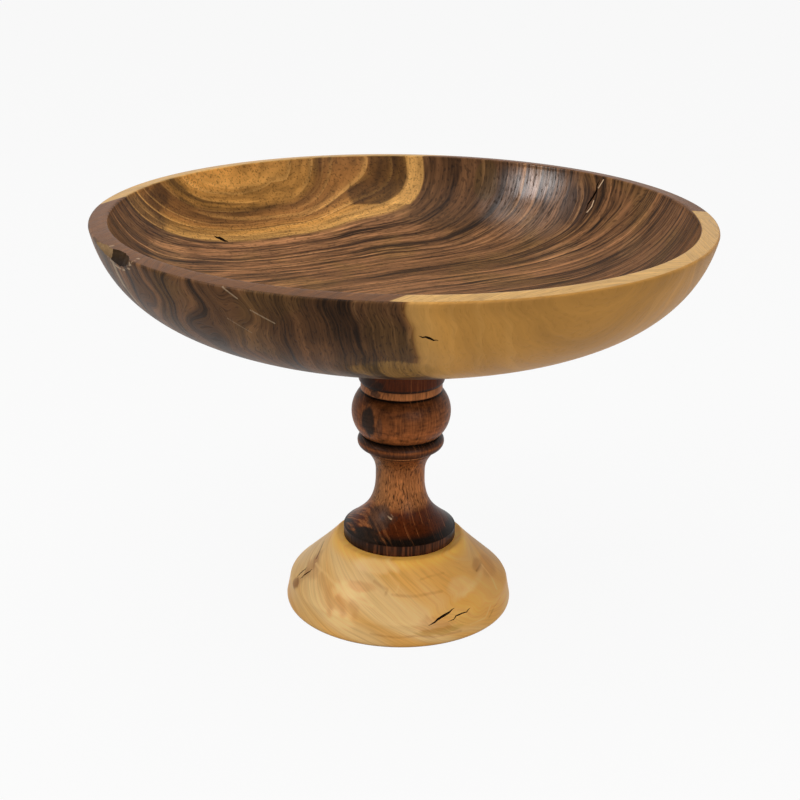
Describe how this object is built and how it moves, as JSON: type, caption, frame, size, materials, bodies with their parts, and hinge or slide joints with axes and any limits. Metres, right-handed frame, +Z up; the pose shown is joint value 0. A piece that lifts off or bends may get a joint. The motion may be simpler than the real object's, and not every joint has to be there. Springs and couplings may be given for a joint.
{
  "type": "footed fruit bowl",
  "caption": "Shallow round wooden bowl on a turned spindle stem and a wide domed foot.",
  "frame": {"origin": "centre of the ring that the foot stands on, on the surface that it stands on", "axes": "+Z up along the turning axis to the bowl's mouth; -Y faces the viewer of the front"},
  "size_m": [0.3, 0.3, 0.2058],
  "materials": {
    "bowl_walnut": "satin varnish",
    "stem_walnut": "satin varnish",
    "foot_sapwood": "satin varnish",
    "screw_steel": "zinc plated"
  },
  "bodies": {
    "root": {"bowl": "bowl_walnut", "stem": "stem_walnut", "foot": "foot_sapwood", "foot_screw": "screw_steel"}
  },
  "joints": []
}
